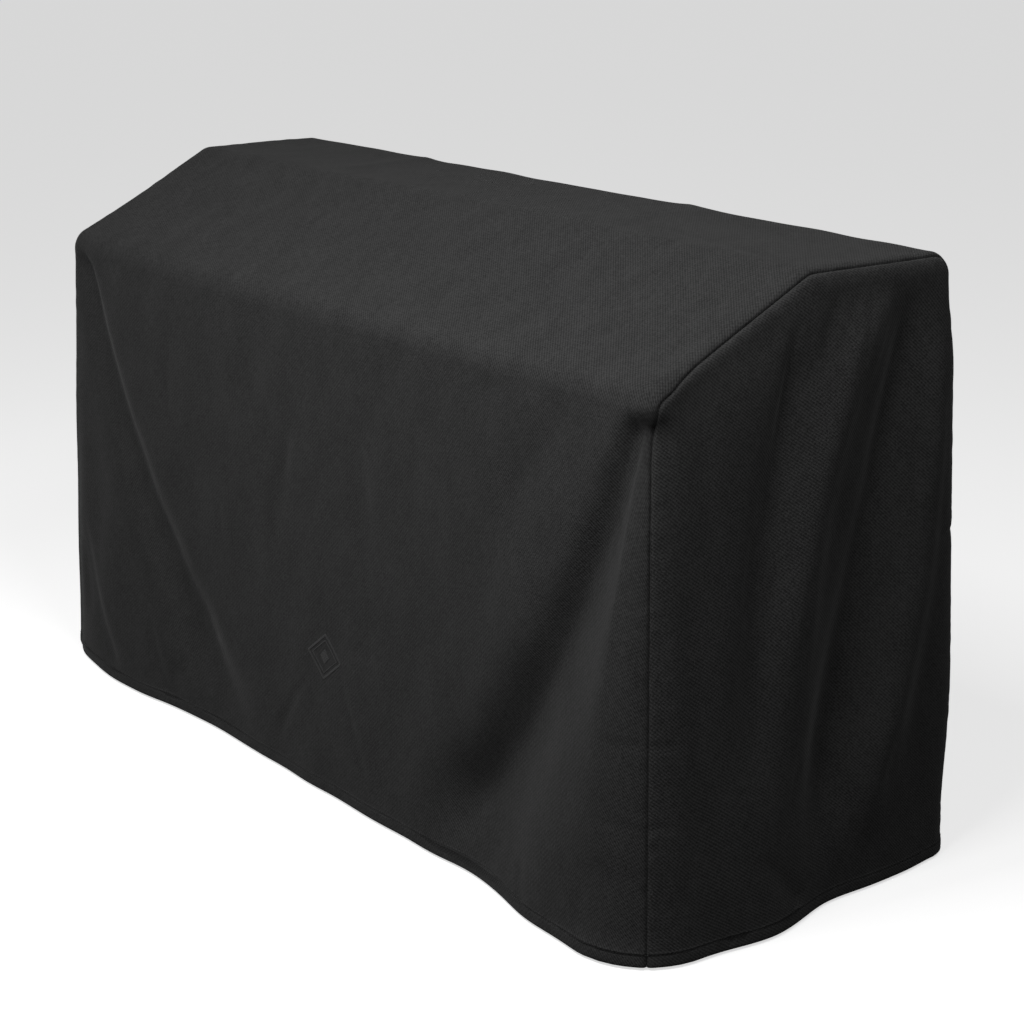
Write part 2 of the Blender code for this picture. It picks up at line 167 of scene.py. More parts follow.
# %% Fine creases
#   along    up     along    up     bow    half widths    depths            open  close lean sharp
SKIRT_CREASES = (
    # pressed lines that fan out beside the right front corner
    (0.742, 0.735, 0.712, 0.500, 0.000, 0.0026, 0.0060, 0.0010, 0.0012, 0.10, 0.60, 0, 0),
    (0.738, 0.735, 0.690, 0.480, 0.004, 0.0026, 0.0060, 0.0010, 0.0012, 0.10, 0.60, 0, 0),
    (0.734, 0.735, 0.660, 0.520, 0.004, 0.0026, 0.0060, 0.0008, 0.0010, 0.10, 0.60, 0, 0),
    (0.747, 0.700, 0.734, 0.080, 0.000, 0.0040, 0.0090, -0.0014, -0.0034, 0.30, 0.20, 0, 0),
    # beside the left front corner
    (-0.705, 0.740, -0.640, 0.600, 0.006, 0.0080, 0.0120, -0.0020, -0.0020, 0.30, 0.50, 0, 0),
    (-0.560, 0.735, -0.480, 0.640, 0.000, 0.0140, 0.0200, -0.0018, -0.0018, 0.30, 0.50, 0, 0),
    (-0.715, 0.250, -0.650, 0.060, 0.010, 0.0160, 0.0240, -0.0020, -0.0040, 0.30, 0.30, 0, 0),
    # shallow wrinkles of the front
    (0.110, 0.610, 0.180, 0.530, 0.004, 0.0080, 0.0090, -0.0012, -0.0016, 0.40, 0.30, 0, 0),
    (0.120, 0.520, 0.195, 0.320, -0.014, 0.0070, 0.0090, -0.0012, -0.0018, 0.30, 0.40, 0, 0),
    (-0.062, 0.560, -0.095, 0.440, 0.008, 0.0080, 0.0080, -0.0014, -0.0014, 0.30, 0.50, 0, 0),
    (-0.092, 0.440, -0.088, 0.300, 0.000, 0.0090, 0.0100, -0.0010, -0.0010, 0.40, 0.50, 0, 0),
    (-0.425, 0.620, -0.405, 0.490, 0.000, 0.0120, 0.0120, -0.0014, -0.0014, 0.40, 0.50, 0, 0),
    (-0.255, 0.410, -0.235, 0.300, 0.000, 0.0090, 0.0090, -0.0014, -0.0014, 0.40, 0.50, 0, 0),
    (0.324, 0.752, 0.296, 0.712, 0.000, 0.0055, 0.0055, -0.0024, -0.0016, 0.20, 0.50, 0, 0),
    (0.455, 0.520, 0.480, 0.400, 0.000, 0.0160, 0.0160, -0.0010, -0.0010, 0.40, 0.50, 0, 0),
    (0.110, 0.560, 0.300, 0.480, 0.000, 0.0160, 0.0200, -0.0008, -0.0008, 0.40, 0.50, 0, 0),
    # puckers round the embroidery
    (0.030, 0.180, -0.070, 0.030, -0.008, 0.0060, 0.0120, -0.0012, -0.0030, 0.15, 0.30, 0, 0),
    (0.104, 0.195, 0.190, 0.040, 0.004, 0.0050, 0.0100, -0.0016, -0.0030, 0.15, 0.30, 0, 0),
    (0.020, 0.246, -0.180, 0.262, 0.000, 0.0080, 0.0160, -0.0010, -0.0010, 0.20, 0.60, 0, 0),
    (0.112, 0.245, 0.300, 0.256, 0.000, 0.0100, 0.0180, -0.0014, -0.0014, 0.20, 0.60, 0, 0),
    (0.060, 0.262, 0.050, 0.350, 0.000, 0.0060, 0.0100, -0.0008, -0.0008, 0.20, 0.60, 0, 0),
    # near the hem
    (-0.445, 0.150, -0.375, 0.010, -0.008, 0.0070, 0.0120, -0.0024, -0.0040, 0.30, 0.10, 0, 0),
    (-0.372, 0.080, -0.360, 0.010, 0.000, 0.0120, 0.0160, -0.0016, -0.0024, 0.40, 0.10, 0, 0),
    (0.500, 0.090, 0.480, 0.010, 0.000, 0.0120, 0.0180, -0.0014, -0.0024, 0.40, 0.10, 0, 0),
    (0.560, 0.080, 0.585, 0.010, 0.000, 0.0100, 0.0140, -0.0014, -0.0028, 0.40, 0.10, 0, 0),
    (0.730, 0.150, 0.718, 0.010, 0.000, 0.0140, 0.0200, -0.0030, -0.0044, 0.30, 0.20, 0, 0),
    (0.790, 0.080, 0.800, 0.004, 0.000, 0.0070, 0.0090, -0.0010, -0.0022, 0.30, 0.10, 0, 0),
    (0.815, 0.080, 0.818, 0.004, 0.000, 0.0060, 0.0080, -0.0010, -0.0022, 0.30, 0.10, 0, 0),
    (0.850, 0.120, 0.935, 0.020, 0.000, 0.0140, 0.0200, -0.0030, -0.0050, 0.30, 0.10, 0, 0),
    # pulls across the seam at the right front corner
    (0.726, 0.556, 0.747, 0.549, 0.000, 0.0040, 0.0050, -0.0006, -0.0010, 0.60, 0.20, 0, 0),
    (0.716, 0.302, 0.748, 0.294, 0.000, 0.0045, 0.0055, -0.0007, -0.0012, 0.60, 0.20, 0, 0),
    (0.712, 0.190, 0.748, 0.186, 0.000, 0.0045, 0.0060, -0.0007, -0.0012, 0.60, 0.20, 0, 0),
    # narrow folds of the right end, which hang from the corners at its top
    (0.975, 0.830, 0.925, 0.620, -0.006, 0.0080, 0.0120, -0.0040, -0.0036, 0.20, 0.40, 0, 0),
    (1.040, 0.860, 0.985, 0.720, 0.000, 0.0080, 0.0120, -0.0026, -0.0030, 0.20, 0.40, 0, 0),
    (1.100, 0.860, 1.035, 0.700, 0.000, 0.0070, 0.0110, -0.0030, -0.0030, 0.20, 0.40, 0, 0),
    (1.130, 0.860, 1.060, 0.690, 0.000, 0.0060, 0.0100, 0.0022, 0.0022, 0.20, 0.40, 0, 0),
    (0.930, 0.530, 0.885, 0.340, -0.006, 0.0080, 0.0100, -0.0028, -0.0028, 0.30, 0.40, 0, 0),
    (0.960, 0.500, 0.935, 0.330, 0.000, 0.0090, 0.0120, -0.0026, -0.0026, 0.30, 0.40, 0, 0),
    (0.885, 0.560, 0.850, 0.420, 0.000, 0.0100, 0.0140, -0.0020, -0.0020, 0.30, 0.40, 0, 0),
    (0.795, 0.700, 0.815, 0.500, 0.000, 0.0140, 0.0200, -0.0020, -0.0020, 0.30, 0.40, 0, 0),
    (1.045, 0.360, 1.035, 0.200, 0.000, 0.0120, 0.0160, -0.0026, -0.0030, 0.30, 0.40, 0, 0),
    (0.950, 0.240, 0.900, 0.120, 0.000, 0.0100, 0.0140, -0.0026, -0.0030, 0.30, 0.40, 0, 0),
    (1.180, 0.560, 1.165, 0.430, 0.000, 0.0100, 0.0140, -0.0026, -0.0026, 0.30, 0.40, 0, 0),
    (1.120, 0.240, 1.100, 0.120, 0.000, 0.0140, 0.0180, -0.0026, -0.0030, 0.30, 0.40, 0, 0),
    (1.195, 0.492, 1.245, 0.486, 0.000, 0.0060, 0.0070, -0.0020, -0.0024, 0.40, 0.20, 0, 0),
)

#   x       y      x       y      bow    half widths    depths            open  close lean sharp
ROOF_CREASES = (
    # pressed lines from packing, across the top
    (-0.372, 0.500, -0.354, 0.290, 0.000, 0.0200, 0.0200, 0.0032, 0.0032, 0.05, 0.20, 0, 1),
    (0.276, 0.510, 0.322, 0.290, 0.000, 0.0400, 0.0400, 0.0042, 0.0042, 0.05, 0.20, 0, 1),
    (0.382, 0.330, 0.740, 0.262, 0.006, 0.0100, 0.0100, -0.0014, -0.0014, 0.20, 0.20, 0, 0),
    # the sloped lid
    (0.555, 0.134, 0.681, 0.068, 0.000, 0.0060, 0.0060, -0.0012, -0.0012, 0.30, 0.30, 0, 0),
    (0.100, 0.250, -0.080, 0.020, 0.010, 0.0300, 0.0300, 0.0008, 0.0008, 0.30, 0.30, 0, 0),
    (0.420, 0.250, 0.240, 0.020, 0.010, 0.0300, 0.0300, -0.0008, -0.0008, 0.30, 0.30, 0, 0),
    (-0.300, 0.250, -0.480, 0.020, 0.010, 0.0400, 0.0400, 0.0010, 0.0010, 0.30, 0.30, 0, 0),
    (0.000, 0.272, 0.600, 0.272, 0.000, 0.0080, 0.0080, 0.0008, 0.0008, 0.20, 0.20, 0, 0),
)

# %% [markdown]
# ## The form
# The plain form is a rounded box with the piano's outline: the outline is drawn inset by the edge
# radius, and every point of the cloth lies one edge radius off it. The wrap rolls over the two end
# edges as far as the seams. This makes every edge evenly round without any modelling by hand.


# %% Form
def unit(v):
    """The vectors at length 1, leaving a zero vector as it is."""
    length = np.linalg.norm(v, axis=-1, keepdims=True)
    return v / np.where(length > 1e-9, length, 1.0)


def smooth(t):
    t = np.clip(t, 0.0, 1.0)
    return t * t * (3.0 - 2.0 * t)


def profile_corners():
    """The inner line's corners, as (centre y, z, extra radius, normal's angle before, after)."""
    rise = np.arctan2(HEIGHT - FRONT_HEIGHT, SLOPE_RUN)
    r = EDGE_RADIUS + FRONT_EXTRA_RADIUS
    front_z = FRONT_HEIGHT - r * (1 - np.sin(rise)) / np.cos(rise)
    front = (r, front_z, FRONT_EXTRA_RADIUS, np.pi, np.pi / 2 + rise)
    r = EDGE_RADIUS + RIDGE_EXTRA_RADIUS
    ridge_y = (r + (HEIGHT - r - FRONT_HEIGHT) * np.cos(rise)) / np.sin(rise)
    ridge = (ridge_y, HEIGHT - r, RIDGE_EXTRA_RADIUS, np.pi / 2 + rise, np.pi / 2)
    r = EDGE_RADIUS + BACK_EXTRA_RADIUS
    back = (DEPTH - r, HEIGHT - r, BACK_EXTRA_RADIUS, np.pi / 2, 0.0)
    return front, ridge, back


def profile(heights, cells):
    """Points (y, z) of the inner line and their normals, front hem to back hem."""
    front, ridge, back = profile_corners()
    points, normals = [], []

    def arc(corner, count):
        y, z, extra, before, after = corner
        for share in np.linspace(0.0, 1.0, count + 1):
            angle = before + (after - before) * share
            n = np.array([np.cos(angle), np.sin(angle)])
            points.append(np.array([y, z]) + extra * n)
            normals.append(n)

    def run(corner, count):
        y, z, extra, before, _ = corner
        start, normal = points[-1], normals[-1]
        goal = np.array([y, z]) + extra * np.array([np.cos(before), np.sin(before)])
        for share in np.linspace(0.0, 1.0, count + 1)[1:-1]:
            points.append(start + (goal - start) * share)
            normals.append(normal)

    for share in heights[:-1]:
        points.append(np.array([EDGE_RADIUS, share * front[1]]))
        normals.append(np.array([-1.0, 0.0]))
    arc(front, cells["edge"])
    run(ridge, cells["slope"])
    arc(ridge, cells["ridge"])
    run(back, cells["top"])
    arc(back, cells["edge"])
    for share in heights[-2::-1]:
        points.append(np.array([DEPTH - EDGE_RADIUS, share * back[1]]))
        normals.append(np.array([1.0, 0.0]))
    return np.array(points), np.array(normals)


def crest(y):
    """Height of the form's outer line above the hem at this depth."""
    return np.interp(y, [0.0, SLOPE_RUN, DEPTH], [FRONT_HEIGHT, HEIGHT, HEIGHT])


def round_the_skirt(x, y):
    """How far round the skirt a point is, and the level direction that faces out there."""
    r = EDGE_RADIUS
    cx = np.clip(x, r - WIDTH / 2, WIDTH / 2 - r)
    cy = np.clip(y, r, DEPTH - r)
    out = np.stack([x - cx, y - cy], axis=-1)
    turn = np.arctan2(out[..., 1], np.abs(out[..., 0]))
    end = WIDTH / 2 - r + 2 * r * (turn / np.pi + 0.5) + (cy - r)
    back = WIDTH / 2 + DEPTH - r + (WIDTH / 2 - r - np.abs(cx))
    at_end = np.abs(out[..., 0]) > 1e-9
    along = np.where(at_end, end, np.where(out[..., 1] > 0, back, np.abs(cx)))
    return np.where(x < 0, -1.0, 1.0) * along, unit(out)


# %% [markdown]
# ## How the cloth leaves the form
# Each point of the form moves straight out by the plain swing of the skirt plus the folds and
# creases near it. The roof only sags a little and takes its creases up and down. A slow ripple of a
# millimetre, from a few sine waves with fixed phases, keeps the cloth between the creases from
# looking like sheet metal.


# %% Displacement
def between_stations(table, column, place):
    """A smooth curve through one column of a table whose first column is the place."""
    x, v = table[:, 0], table[:, column]
    slope = np.gradient(v, x)
    k = np.clip(np.searchsorted(x, place) - 1, 0, len(x) - 2)
    h = x[k + 1] - x[k]
    t = (place - x[k]) / h
    rise = t * t * (3.0 - 2.0 * t)
    return (
        v[k] * (1.0 - rise)
        + v[k + 1] * rise
        + slope[k] * h * t * (1.0 - t) ** 2
        - slope[k + 1] * h * t * t * (1.0 - t)
    )


def swing(along, drop):
    """Stand-off of the plain skirt, drop going from 0 at the edge to 1 at the hem."""
    table = np.array(SWING)
    hem = between_stations(table, 1, along)
    shoulder = between_stations(table, 2, along)
    return hem * drop + shoulder * (1.0 - np.exp(-((drop / 0.08) ** 2)))


def crease(along, up, row):
    """Stand-off of one fold or crease."""
    a0, u0, a1, u1, bow, w0, w1, d0, d1, grow, die, lean = row[:12]
    sharp = len(row) > 12 and row[12]
    line = np.array([a1 - a0, u1 - u0])
    length = np.hypot(*line)
    line = line / length
    t = ((along - a0) * line[0] + (up - u0) * line[1]) / length
    side = -(along - a0) * line[1] + (up - u0) * line[0]
    held = np.clip(t, 0.0, 1.0)
    side = side - bow * 4.0 * held * (1.0 - held)
    ends = smooth(t / grow) * smooth((1.0 - t) / die)
    far = np.abs(side) / (w0 + (w1 - w0) * held) / (1.0 - lean * np.sign(side))
    shape = np.exp(-np.sqrt(far * far + 0.01)) if sharp else np.exp(-far * far)
    return (d0 + (d1 - d0) * held) * ends * shape


RIPPLE_COUNT = 18
RIPPLE_HEIGHT = 0.0005
waves = np.random.default_rng(11)
RIPPLES = np.stack(
    [
        waves.uniform(2.0, 9.0, RIPPLE_COUNT),
        waves.uniform(-5.0, 5.0, RIPPLE_COUNT),
        waves.uniform(0.0, 2 * np.pi, RIPPLE_COUNT),
    ],
    axis=-1,
)


def ripple(along, up):
    """Slow unevenness of the cloth, a little more upright than level."""
    total = sum(np.sin(2 * np.pi * (a * along + u * up) + f) for a, u, f in RIPPLES)
    return RIPPLE_HEIGHT * total / np.sqrt(RIPPLE_COUNT / 4)


def displace(p):
    """The cloth's place for points p of the plain form."""
    x, y, z = p[..., 0], p[..., 1], p[..., 2]
    along, out = round_the_skirt(x, y)
    top = crest(y)
    hanging = top - EDGE_CLEAR
    drop = np.clip((hanging - z) / hanging, 0.0, 1.0)
    stand = swing(along, drop)
    folds = sum(crease(along, z, row) for row in FOLDS + SKIRT_CREASES)
    stand = stand + (folds + ripple(along, z)) * smooth(drop / 0.06)
    middle = 1.0 - np.clip(2.0 * x / WIDTH, -1.0, 1.0) ** 2
    over = smooth(1.0 - drop / 0.10)
    on_slope = np.clip(y / SLOPE_RUN, 0.0, 1.0)
    sag = SLOPE_SAG * np.sin(np.pi * on_slope) + FRONT_EDGE_SAG * (1.0 - smooth(on_slope)) * middle
    lift = sum(crease(x, y, row) for row in ROOF_CREASES)
    lift = lift + 0.7 * ripple(x + 0.4 * y, y + 0.3)
    move = np.zeros(p.shape)
    move[..., :2] = out * stand[..., None]
    move[..., 2] = (lift * smooth((y + 0.004) / 0.02) - sag) * over
    back = smooth((y - 0.4 * SLOPE_RUN) / (DEPTH - 0.4 * SLOPE_RUN))
    for side, (at_front, at_back) in zip((-1.0, 1.0), REACH.values()):
        reach = at_front + (at_back - at_front) * back
        move[..., 0] += side * reach * smooth(side * 2.0 * x / WIDTH)
    return p + move


def cloth_at(p, normal):
    """The cloth's outer face and its normals, in the part's frame, for points on the form."""
    up = np.where(np.abs(normal[..., 2:]) > 0.9, [1.0, 0.0, 0.0], [0.0, 0.0, 1.0])
    t1 = unit(np.cross(up, normal))
    t2 = np.cross(normal, t1)
    h = 0.0004
    d1 = displace(p + h * t1) - displace(p - h * t1)
    d2 = displace(p + h * t2) - displace(p - h * t2)
    shift = np.array([0.0, (SLOPE_RUN + DEPTH) / 2, HEIGHT - SOLID_CLOTH])
    return displace(p) - shift, unit(np.cross(d1, d2))


# %% [markdown]
# ## Making a sheet
# A sheet starts as Blender's own grid and its vertices are moved onto the cloth. It carries a UV map
# in metres along and across the weave, so that the threads keep their size and direction on every
# panel. Solidify would double the triangles for no visible gain, so the sheet is one layer, turned
# double at the hem.


# %% Sheet helper
def grid_object(name, points, uv):
    """A grid with its vertices at points[row, column], with a UV map in metres."""
    rows, columns = points.shape[:2]
    bm = bmesh.new()
    bmesh.ops.create_grid(bm, x_segments=columns - 1, y_segments=rows - 1, size=0.5)
    mesh = bpy.data.meshes.new(name)
    bm.to_mesh(mesh)
    bm.free()
    flat = np.empty(rows * columns * 3, np.float32)
    mesh.vertices.foreach_get("co", flat)
    flat = flat.reshape(-1, 3)
    column = np.rint((flat[:, 0] + 0.5) * (columns - 1)).astype(int)
    row = np.rint((flat[:, 1] + 0.5) * (rows - 1)).astype(int)
    mesh.vertices.foreach_set("co", points[row, column].astype(np.float32).ravel())
    loops = np.empty(len(mesh.loops), np.int32)
    mesh.loops.foreach_get("vertex_index", loops)
    layer = mesh.uv_layers.new(name="weave")
    layer.uv.foreach_set("vector", uv[row, column][loops].astype(np.float32).ravel())
    mesh.shade_smooth()
    mesh.update()
    obj = bpy.data.objects.new(name, mesh)
    bpy.context.scene.collection.objects.link(obj)
    return obj


def measured_uv(points, row, column):
    """Distances in metres over the cloth, across from this column and along from this row."""

    def distances(values, axis, start):
        steps = np.linalg.norm(np.diff(values, axis=axis), axis=-1)
        total = np.insert(np.cumsum(steps, axis=axis), 0, 0.0, axis=axis)
        return total - np.take(total, [start], axis=axis)

    return np.stack([distances(points, 1, column), distances(points, 0, row)], axis=-1)


def face_outwards(obj, towards):
    """Flips the sheet if its faces, taken together, look away from this direction."""
    mesh = obj.data
    normal = sum((face.normal * face.area for face in mesh.polygons), Vector())
    if normal.dot(Vector(towards)) < 0:
        mesh.flip_normals()


# %% [markdown]
# ## Hem and seam
# The hem is a narrow fold of the panel's own cloth: the sheet runs down to the edge, turns round it
# and goes up again inside. The band stands out a little and the stitch line pulls it in. At a seam
# the cloth turns inwards on both sides, which leaves the thin dark groove that outlines each end, and
# the wrap's seam allowance lies behind the groove, so that no light comes through it.


# %% Hem and seam
def hem_relief(height):
    """How far the hem band stands out, at this height above the edge."""
    band = smooth(height / 0.003) * smooth((HEM + 0.0015 - height) / 0.002)
    stitch = np.exp(-(((height - HEM_STITCH_UP) / 0.0012) ** 2))
    return HEM_BAND_RELIEF * (band - stitch)


HEM_TURN = ((0.0, 0.0006), (0.0003, 0.0001), (0.0009, -0.0001), (0.0015, 0.0001), (0.0018, 0.0008))
HEM_INSIDE = ((0.0018, 0.006), (0.0018, 0.012), (0.0016, HEM - 0.001), (0.0011, HEM))


def turn_hem(points, normals, uv):
    """Adds the rows that turn round the hem edge and run up inside, before the first row."""
    rows, marks = [], []
    for inward, up in HEM_TURN + HEM_INSIDE:
        rows.append(points[0] - normals[0] * inward + np.array([0.0, 0.0, up]))
        marks.append(uv[0] - np.array([0.0, inward + abs(up)]))
    return np.concatenate([rows[::-1], points]), np.concatenate([marks[::-1], uv])


def seam_relief(far, place):
    """The cloth's dip into the seam, far from it by this much, at this place along it."""
    groove = -SEAM_DEPTH * np.clip(1.0 - far / SEAM_WIDTH, 0.0, 1.0) ** 2
    ridge = 0.0006 * np.exp(-(((far - 0.008) / 0.005) ** 2))
    pucker = np.sin(2 * np.pi * place / 0.047) + np.sin(2 * np.pi * place / 0.031 + 1.3)
    pucker = pucker * np.sin(2 * np.pi * place / 0.290 + 0.6)
    return groove + ridge + PUCKER * pucker * np.exp(-far / 0.014) * smooth(far / 0.002)


ALLOWANCE = ((0.0022, -0.0004), (0.0040, 0.0012), (0.0048, 0.0040), (0.0052, 0.0072))


def add_allowance(points, normals, uv, column):
    """Adds the seam allowance to this end column: it turns in and lies behind the end panel."""
    aside = unit(points[:, 1 if column == 0 else -2] - points[:, column])
    columns, marks = [], []
    for inward, past in ALLOWANCE:
        columns.append(points[:, column] - normals[:, column] * inward - aside * past)
        marks.append(uv[:, column] + [(-1.0 if column == 0 else 1.0) * (inward + past), 0.0])
    columns, marks = np.stack(columns, axis=1), np.stack(marks, axis=1)
    if column == 0:
        ends = np.repeat(normals[:, :1], len(ALLOWANCE), axis=1)
        joined = (columns[:, ::-1], points), (ends, normals), (marks[:, ::-1], uv)
    else:
        ends = np.repeat(normals[:, -1:], len(ALLOWANCE), axis=1)
        joined = (points, columns), (normals, ends), (uv, marks)
    return [np.concatenate(pair, axis=1) for pair in joined]


# %% [markdown]
# ## Wrap panel
# One length of cloth runs up the front, over the lid and the top and down the back. Its grid has a
# row for every 6 mm or so and narrow rows at the hems, and its columns crowd towards the seams,
# where the cloth turns in.

# %% Wrap panel
HEM_ROWS = [0.0015, 0.003, 0.006, 0.010, 0.0135, 0.015, 0.016, 0.017, 0.018, 0.0195, 0.0205, 0.022]
SEAM_COLUMNS = [0.0, 0.1, 0.2, 0.35, 0.55, 0.8, 1.1, 1.5, 2.0, 2.8, 4.0, 6.0, 9.0, 13.0, 18.0]
CELLS = {"edge": 12, "slope": 44, "ridge": 8, "top": 36}
FLAT_COLUMNS = 186
SKIRT_ROWS = 126

above_hem = np.linspace(FIRST_ROW_UP, FRONT_HEIGHT, SKIRT_ROWS)
skirt = np.concatenate([[0.0], HEM_ROWS, above_hem]) / FRONT_HEIGHT
line, line_normals = profile(skirt, CELLS)


def seam_angles(line, normals):
    """Roll of the cloth over the end edge at the seam, for each station."""
    level = smooth(np.abs(normals[:, 0]) ** 2)
    roof = SEAM_ANGLE_SLOPE + (SEAM_ANGLE_BACK - SEAM_ANGLE_SLOPE) * smooth(line[:, 0] / DEPTH)
    corner_y, corner_z = profile_corners()[0][:2]
    far = np.hypot(line[:, 0] - corner_y, line[:, 1] - corner_z)
    rounding = SEAM_ANGLE_CORNER * np.exp(-((far / SEAM_CORNER_REACH) ** 2))
    return np.radians(roof + (SEAM_ANGLE_SKIRT - roof) * level + rounding)


def wrap_grid():
    """Points of the plain form under the wrap, and their normals."""
    inner = WIDTH / 2 - EDGE_RADIUS
    last = seam_angles(line, line_normals)
    rolls = [last * (1.0 - d / SEAM_COLUMNS[-1] / 1.15) for d in SEAM_COLUMNS]
    share = np.linspace(-1.0, 1.0, FLAT_COLUMNS + 1)
    roof = inner * np.sin(np.pi / 2 * share * FAN) / np.sin(np.pi / 2 * FAN)
    down = np.clip(1.0 - line[:, 1] / FRONT_HEIGHT, 0.0, 1.0)
    flat = np.zeros(len(line))
    places = [(flat - inner, -a) for a in rolls]
    places += [(x + (inner * s - x) * down, flat) for x, s in zip(roof, share)]
    places += [(flat + inner, a) for a in reversed(rolls)]
    points, normals = [], []
    for x, angle in places:
        c, s = np.cos(angle), np.sin(angle)
        normal = np.stack([s, c * line_normals[:, 0], c * line_normals[:, 1]], axis=-1)
        points.append(np.stack([x, line[:, 0], line[:, 1]], axis=-1) + EDGE_RADIUS * normal)
        normals.append(normal)
    return np.stack(points, axis=1), np.stack(normals, axis=1)


form, form_normals = wrap_grid()
points, normals = cloth_at(form, form_normals)
wrap_uv = measured_uv(points, points.shape[0] // 2, points.shape[1] // 2)
height = form[..., 2]
points += normals * hem_relief(height)[..., None]
for column in (0, -1):
    far = np.linalg.norm(points - points[:, [column]], axis=-1)
    points += normals * (seam_relief(far, wrap_uv[:, [column], 1]) * (far < 0.1))[..., None]
    aside = unit(points[:, 1 if column == 0 else -2] - points[:, column])
    points[:, column] += aside * SEAM_GAP / 2
for column in (0, -1):
    points, normals, wrap_uv = add_allowance(points, normals, wrap_uv, column)
points, uv = turn_hem(points, normals, wrap_uv)
back_points, back_uv = turn_hem(points[::-1], normals[::-1], uv[::-1])
wrap = grid_object("wrap_cloth", back_points[::-1], back_uv[::-1])
face_outwards(wrap, (0, -0.3, 1))
print("wrap panel", len(wrap.data.polygons), "faces")

# %% [markdown]
# ## End panels
# Each end is one flat piece that meets the wrap along the seam. Its columns run from the hem up to
# the seam, so that no face is squeezed at the corners, and both its sides and its top turn in. The
# left end isn't seen from the front and is cut like the right one.

# %% End panels
EDGE_STEPS = np.array([0.0, 0.3, 0.6, 1.0, 1.5, 2.1, 2.9, 4.0, 6.0, 9.0, 13.0]) / 1000
END_COLUMNS = 96
END_ROWS = 130


def rim_line():
    """The end panel's seam as points (y, z), from the front hem round to the back hem."""
    angle = seam_angles(line, line_normals)
    return line + (EDGE_RADIUS * np.cos(angle))[:, None] * line_normals


def off_line(y, z):
    """How far (y, z) is outside the inner line, and the direction from it."""
    point = np.stack([y, z], axis=-1)
    best = np.full(y.shape, np.inf)
    away = np.zeros(point.shape)
    inside = np.ones(y.shape, bool)
    for a, b in zip(line[:-1], line[1:]):
        edge = b - a
        if np.hypot(*edge) < 1e-9:
            continue
        t = np.clip(((point - a) @ edge) / (edge @ edge), 0.0, 1.0)
        gap = point - (a + t[..., None] * edge)
        far = np.linalg.norm(gap, axis=-1)
        near = far < best
        best = np.where(near, far, best)
        away = np.where(near[..., None], gap, away)
        inside &= edge[0] * gap[..., 1] - edge[1] * gap[..., 0] <= 1e-12
    return np.where(inside, 0.0, best), np.where(inside[..., None], 0.0, unit(away))


def end_grid(side):
    """Points of the plain form under an end panel, and their normals."""
    rim = rim_line()
    first = len(skirt) - 1
    front, top, back = rim[: first + 1], rim[first : len(rim) - first], rim[: -first - 2 : -1]
    width = top[-1, 0] - top[0, 0]
    inside = np.linspace(EDGE_STEPS[-1], width - EDGE_STEPS[-1], END_COLUMNS)
    across = np.concatenate([EDGE_STEPS[:-1], inside, width - EDGE_STEPS[-2::-1]])
    roof = np.interp(top[0, 0] + across, top[:, 0], top[:, 1])
    low = np.concatenate([[0.0], HEM_ROWS])
    high = EDGE_STEPS[::-1]
    share = np.linspace(0.0, 1.0, END_ROWS)[1:-1, None]
    middle = FIRST_ROW_UP + share * (roof - high[0] - FIRST_ROW_UP)
    z = np.concatenate([np.repeat(low[:, None], len(roof), axis=1), middle, roof - high[:, None]])
    front_y = np.interp(z, front[:, 1], front[:, 0])
    back_y = np.interp(z, back[:, 1], back[:, 0])
    y = front_y + across / width * (back_y - front_y)
    far, away = off_line(y, z)
    s = np.clip(far / EDGE_RADIUS, 0.0, 0.98)
    c = np.sqrt(1.0 - s * s)
    x = side * (WIDTH / 2 - EDGE_RADIUS + EDGE_RADIUS * c)
    points = np.stack([x, y, z], axis=-1)
    normals = np.concatenate([side * c[..., None], s[..., None] * away], axis=-1)
    return points, normals


def distance_to_rim(points):
    """How far each point is from the panel's sewn edge, and how far along the edge that is."""
    rim = np.concatenate([points[:, 0], points[-1, 1:-1], points[::-1, -1]])
    place = np.concatenate([[0.0], np.cumsum(np.linalg.norm(np.diff(rim, axis=0), axis=1))])
    far = np.empty(points.shape[:2])
    along = np.empty(points.shape[:2])
    for i, row in enumerate(points):
        gap = np.linalg.norm(row[:, None] - rim[None], axis=-1)
        near = gap.argmin(axis=1)
        far[i] = gap[np.arange(len(row)), near]
        along[i] = place[near]
    return far, along


def make_end(name, side):
    form, form_normals = end_grid(side)
    points, normals = cloth_at(form, form_normals)
    far, along = distance_to_rim(points)
    points += normals * (hem_relief(form[..., 2]) * smooth(far / 0.004))[..., None]
    points += normals * seam_relief(far, along)[..., None]
    for edge, next_in in (
        ((slice(None), 0), (slice(None), 1)),
        ((slice(None), -1), (slice(None), -2)),
        ((-1,), (-2,)),
    ):
        points[edge] += unit(points[next_in] - points[edge]) * SEAM_GAP / 2
    uv = measured_uv(points, points.shape[0] // 2, points.shape[1] // 2)
    points, uv = turn_hem(points, normals, uv)
    obj = grid_object(name, points, uv)
    face_outwards(obj, (side, 0, 0))
    print(name, len(obj.data.polygons), "faces")
    return obj


end_right = make_end("end_cloth_right", 1.0)
end_left = make_end("end_cloth_left", -1.0)

# %% [markdown]
# ## Hem stitches
# A row of lockstitch holds the hem. Each stitch is a short thread with flattened ends, laid along
# the cloth on its stitch line. A texture could draw them, but real threads catch the light and stay
# right from close by.

# %% Hem stitches
STITCH = 0.0030
STITCH_PITCH = 0.0038
THREAD = 0.00045


